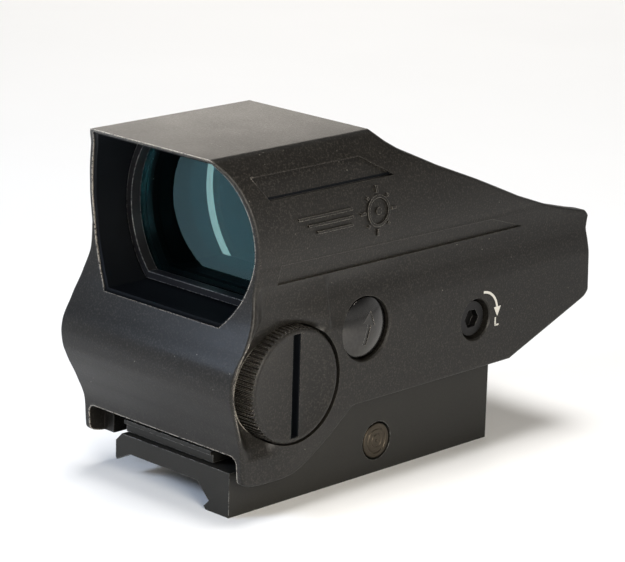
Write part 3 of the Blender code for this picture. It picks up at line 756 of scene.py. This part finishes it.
def makeButtons():
    # domed turned buttons, each with an arrow cut into the crown
    shape = {"radius": 5.14, "sphere": 12.4, "crown": 21.0, "cut": 0.14, "rings": 26, "lean": -14,
             "arrow": [(0.4, -2.7), (0.4, 0.7), (1.4, 0.7), (0.0, 3.0), (-1.4, 0.7), (-0.4, 0.7),
                       (-0.4, -2.7)]}
    edge, lean = shape["radius"], math.radians(shape["lean"])

    def crownAt(r):
        return shape["crown"] - shape["sphere"] + math.sqrt(shape["sphere"] ** 2 - r * r)

    profile = [(14.6, 0), (14.6, 1.9), (18.6, 1.9), (18.6, edge - 0.15), (18.75, edge), (19.8, edge),
               (19.87, edge - 0.03)]
    for i in range(1, shape["rings"] + 1):
        r = edge * math.cos(math.pi / 2 * i / shape["rings"])
        profile.append((crownAt(r), r))
    outline = []
    for (a0, b0), (a1, b1) in zip(shape["arrow"], shape["arrow"][1:] + shape["arrow"][:1]):
        pieces = max(1, int(math.hypot(a1 - a0, b1 - b0) / 0.3))
        for i in range(pieces):
            outline.append((a0 + (a1 - a0) * i / pieces, b0 + (b1 - b0) * i / pieces))
    for side, word in ((1, "up"), (-1, "down")):
        centre = centreOf(word + "_button")
        item = turned(word + "Button", "X", centre, [(side * x, r) for x, r in profile], 128, "turnedBlack")
        loops = [[], []]
        for a, b in outline:
            b = b * side
            y = a * math.cos(lean) - b * math.sin(lean)
            z = a * math.sin(lean) + b * math.cos(lean)
            floor = crownAt(math.hypot(y, z)) - shape["cut"]
            loops[0].append((side * floor, centre.y + y, centre.z + z))
            loops[1].append((side * 23, centre.y + y, centre.z + z))
        carve(item, [loft("arrow", loops)])
        rounded(item, 40)
        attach(item, word + "_button")
        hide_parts(word + "_button")
        print(word, "button", len(item.data.polygons))


def makeBolt():
    # cross bolt: a turned head in the base's near side, grooves for the thread on the far end
    bolt = {"head": 3.06, "shank": 2.45, "thread": 2.3, "pitch": 0.7, "face": 15.28}
    head, shank, thread, pitch, face = (bolt[k] for k in ("head", "shank", "thread", "pitch", "face"))
    profile = [(-22.2, 0), (-22.2, 1.9), (-21.9, thread)]
    x = -21.6
    while x < -13.4:
        profile += [(x, thread), (x + 0.35 * pitch, shank), (x + 0.5 * pitch, shank),
                    (x + 0.85 * pitch, thread)]
        x += pitch
    profile += [(-12.6, shank), (12.5, shank), (12.5, head), (15.05, head), (15.2, head - 0.06),
                (face, head - 0.2), (face, 2.3), (15.18, 2.22), (15.18, 2.02), (face, 1.94), (face, 1.25),
                (15.2, 1.19), (15.2, 1.03), (face, 0.97), (face, 0.3), (15.12, 0)]
    item = turned("crossBolt", "X", centreOf("cross_bolt"), profile, 96, "turnedSteel")
    rounded(item, 25)
    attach(item, "housing")
    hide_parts("cross_bolt")
    print("bolt", len(item.data.polygons))


def makeRearGlass():
    # the pane behind the lens, whose cut ends glow as a painted highlight
    glass = {"front": 26.3, "back": 28.3, "radius": 17.9, "half": 12.4, "bevel": 0.25}
    front, back, bevel = glass["front"], glass["back"], glass["bevel"]
    loops = [windowLoop(glass["radius"] - inset, glass["half"] - inset, y)
             for y, inset in ((front, bevel), (front + bevel, 0), (back - bevel, 0), (back, bevel))]
    item = loft("rearPane", loops, "rearGlass")
    item.data.materials.append(materials["glassEdgePaintedGlint"])
    # the side faces take the glowing edge colour, a painted highlight
    for face in item.data.polygons:
        if abs(face.normal.x) > 0.5:
            face.material_index = 1
    rounded(item, 30)
    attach(item, "housing")
    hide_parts("rear_window")
    print("rear pane", len(item.data.polygons))


def wallPiece(name, loops, finish, low, high):
    # raised or printed shapes on the near wall, from low to high off its surface: each loop is a
    # run of (inner, outer) edge points, and says whether it closes on itself
    vertices, faces = [], []
    for pairs, closed in loops:
        first = len(vertices)
        for (y0, z0), (y1, z1) in pairs:
            for y, z, lift in ((y0, z0, low), (y0, z0, high), (y1, z1, high), (y1, z1, low)):
                vertices.append((float(halfWidth(y, z, True)) + lift, y, z))
        count = len(pairs)
        for i in range(count if closed else count - 1):
            a, b = first + 4 * i, first + 4 * ((i + 1) % count)
            for j in range(4):
                k = (j + 1) % 4
                faces.append((a + j, a + k, b + k, b + j))
        if not closed:
            faces.append(tuple(first + j for j in range(4)))
            faces.append(tuple(first + 4 * (count - 1) + j for j in range(4)))
    item = rounded(outward(meshObject(name, vertices, faces, finish)), 30)
    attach(item, "housing")
    print(name, len(item.data.polygons))


def ringPairs(y, z, inner, outer, start=0, end=360, steps=72):
    pairs = []
    closed = end - start == 360
    for i in range(steps if closed else steps + 1):
        angle = math.radians(start + (end - start) * i / steps)
        c, s = math.cos(angle), math.sin(angle)
        pairs.append(((y + inner * c, z + inner * s), (y + outer * c, z + outer * s)))
    return pairs, closed


def barPairs(start, end, width0, width1, steps=6):
    # a straight bar whose width runs from width0 to width1
    (y0, z0), (y1, z1) = start, end
    length = math.hypot(y1 - y0, z1 - z0)
    ny, nz = (z0 - z1) / length, (y1 - y0) / length
    pairs = []
    for i in range(steps + 1):
        t = i / steps
        y, z = y0 + (y1 - y0) * t, z0 + (z1 - z0) * t
        w = (width0 + (width1 - width0) * t) / 2
        pairs.append(((y - ny * w, z - nz * w), (y + ny * w, z + nz * w)))
    return pairs, False


def makeEmblem():
    # a plain reticle, with dot, ring and ticks, and three bars beside it
    mark = {"centre": (27.5, 47.6), "dot": 0.6, "ring": (2.15, 2.6), "tickFrom": 3.0, "longTick": 4.1,
            "shortTick": 3.5, "line": 0.42, "barEnd": 21.5, "barStarts": (9.5, 11.5, 13.5),
            "barGap": 1.3, "sunk": -0.2, "height": 0.36}
    (y, z), line = mark["centre"], mark["line"]
    parts = [ringPairs(y, z, *mark["ring"]), ringPairs(y, z, 0.02, mark["dot"], steps=32)]
    for angle in range(0, 360, 45):
        reach = mark["longTick"] if angle % 90 == 0 else mark["shortTick"]
        c, s = math.cos(math.radians(angle)), math.sin(math.radians(angle))
        root = mark["tickFrom"]
        parts.append(barPairs((y + root * c, z + root * s), (y + reach * c, z + reach * s), line, line))
    for i, start in enumerate(mark["barStarts"]):
        level = z + mark["barGap"] * (1 - i)
        parts.append(barPairs((start, level), (mark["barEnd"], level), line, line, 24))
    wallPiece("emblem", parts, "wornPaint", mark["sunk"], mark["height"])


def makePrint():
    # white turn arrow with its letter, beside the side screw
    mark = {"centre": (53.75, 25.35), "radius": 3.75, "line": 0.42, "head": 1.75, "letter": 0.32,
            "foot": 0.3, "sunk": -0.06, "lift": 0.02}
    (y, z), r, half = mark["centre"], mark["radius"], mark["line"] / 2
    parts = [
        ringPairs(y, z, r - half, r + half, 88, 8, 24),
        barPairs((y + r + 0.05, z + 0.6), (y + r + 0.1, z - 1.05), mark["head"], 0.06),
        barPairs((y + r - 0.35, z - 1.25), (y + r - 0.35, z - 2.75), mark["letter"], mark["letter"]),
        barPairs((y + r - 0.5, z - 2.65), (y + r + 0.55, z - 2.65), mark["foot"], mark["foot"]),
    ]
    wallPiece("turnMark", parts, "printWhite", mark["sunk"], mark["lift"])


def keep(node, finish, angle=35):
    # a CAD node whose shape is right gets its finish and soft shading
    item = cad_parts[node]
    item.data.materials.clear()
    item.data.materials.append(materials[finish])
    rounded(item, angle)


keptNodes = {
    "anodisedAlloy": ["rail_base", "bottom_cover", "clamp_bar", "windage_carriage"],
    "ringAlloy": ["lens_retaining_ring", "rear_window_frame"],
    "turnedSteel": ["clamp_nut"],
    "cellSteel": ["coin_cell"],
    "blackSteel": ["base_screw_1", "base_screw_2", "base_screw_3", "base_screw_4", "board_screw_near",
                   "board_screw_far", "windage_screw", "windage_retainer", "elevation_screw",
                   "elevation_retainer", "aperture_mask"],
    "sealRubber": ["lens_gasket", "battery_seal", "up_button_seal", "down_button_seal"],
    "mouldedPlastic": ["battery_insulator", "up_switch", "down_switch", "driver_chip", "emitter_slide"],
    "contactBrass": ["battery_contact"],
    "solderMask": ["main_circuit_board", "up_switch_board", "down_switch_board", "led_board"],
    "ledRed": ["emitter_led"],
    "coatedGlass": ["front_lens"],
    "rearGlass": ["emitter_window"],
}


def makeKept():
    for finish, nodes in keptNodes.items():
        for node in nodes:
            keep(node, finish)
    print("kept", sum(len(nodes) for nodes in keptNodes.values()))


view = {"place": (0.319514, -0.321887, 0.154600), "azimuth": 44.589, "elevation": 15.795, "roll": 1.628,
        "lens": 160.574}


def makeCamera():
    a, e, roll = (math.radians(view[k]) for k in ("azimuth", "elevation", "roll"))
    ahead = Vector((-math.sin(a) * math.cos(e), math.cos(a) * math.cos(e), -math.sin(e)))
    right = Vector((math.cos(a), math.sin(a), 0))
    up = right.cross(ahead)
    tilt = Matrix.Rotation(roll, 3, -ahead)
    basis = Matrix((tilt @ right, tilt @ up, -ahead)).transposed()
    data = bpy.data.cameras.new("camera")
    data.lens = view["lens"]
    data.sensor_width = 36
    data.sensor_fit = "HORIZONTAL"
    data.clip_start = 0.01
    camera = bpy.data.objects.new("camera", data)
    camera.matrix_world = Matrix.Translation(view["place"]) @ basis.to_4x4()
    bpy.context.scene.collection.objects.link(camera)
    bpy.context.scene.camera = camera
    bpy.context.scene.view_settings.view_transform = "Standard"
    print("camera")


# each lamp is a disk: place, width, power, colour
lampAim = Vector((0, 0.01, 0.02))
lamps = {
    "topLight": ((0.0, 0.1, 1.6), 0.8, 22.5, (1.0, 0.99, 0.975)),
    "backLight": ((-0.75, 0.75, 0.28), 0.45, 1.5, (1.0, 0.92, 0.82)),
    "sideLight": ((0.15, -0.08, 0.07), 0.08, 0.26, (1.0, 0.94, 0.84)),
    "frontLight": ((-0.11, -0.24, 0.16), 0.08, 0.46, (0.66, 0.79, 1.0)),
}


def makeLights():
    for name, (place, size, power, colour) in lamps.items():
        lamp = bpy.data.lights.new(name, "AREA")
        lamp.shape = "DISK"
        lamp.size = size
        lamp.energy = power
        lamp.color = colour
        light = bpy.data.objects.new(name, lamp)
        light.location = place
        light.rotation_euler = (lampAim - Vector(place)).to_track_quat("-Z", "Y").to_euler()
        bpy.context.scene.collection.objects.link(light)
    print("lights", len(lamps))


def makeRoom():
    # a dome, bright near the floor and dim above, and a pale floor
    room = {"bright": 0.80, "drop": 0.72, "dimFrom": 0.12, "dimTo": 0.38, "floorHalf": 3000}
    world = bpy.data.worlds.new("studio")
    world.use_nodes = True
    sky = Nodes(world.node_tree)
    height = sky.add("SeparateXYZ", None, {0: sky.add("TexCoord")}, 2)
    glow = room["bright"] - room["drop"] * sky.between(height, room["dimFrom"], room["dimTo"])
    background = world.node_tree.nodes["Background"]
    sky.plug((1, 1, 1), background.inputs[0])
    sky.plug(glow, background.inputs[1])
    bpy.context.scene.world = world
    low = min(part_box("rail_base")[0].z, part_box("clamp_bar")[0].z) / mm + seat.z
    half = room["floorHalf"]
    corners = [(-half, -half, low), (half, -half, low), (half, half, low), (-half, half, low)]
    floor = meshObject("floor", corners, [(0, 1, 2, 3)])
    pale = Finish("paleFloor", Roughness=0.7, Specular_IOR_Level=0.1)
    pale.set("Base Color", pale.blend(pale.noise(60, 2), (0.90, 0.90, 0.90), (0.93, 0.93, 0.93)))
    floor.data.materials.append(pale.material)
    print("room")


makeCamera()
makeLights()
makeRoom()
makeFinishes()
print("finishes", len(materials))
makeHousing()
makeCap()
makeButtons()
makeRearGlass()
makeBolt()
makeEmblem()
makePrint()
makeKept()
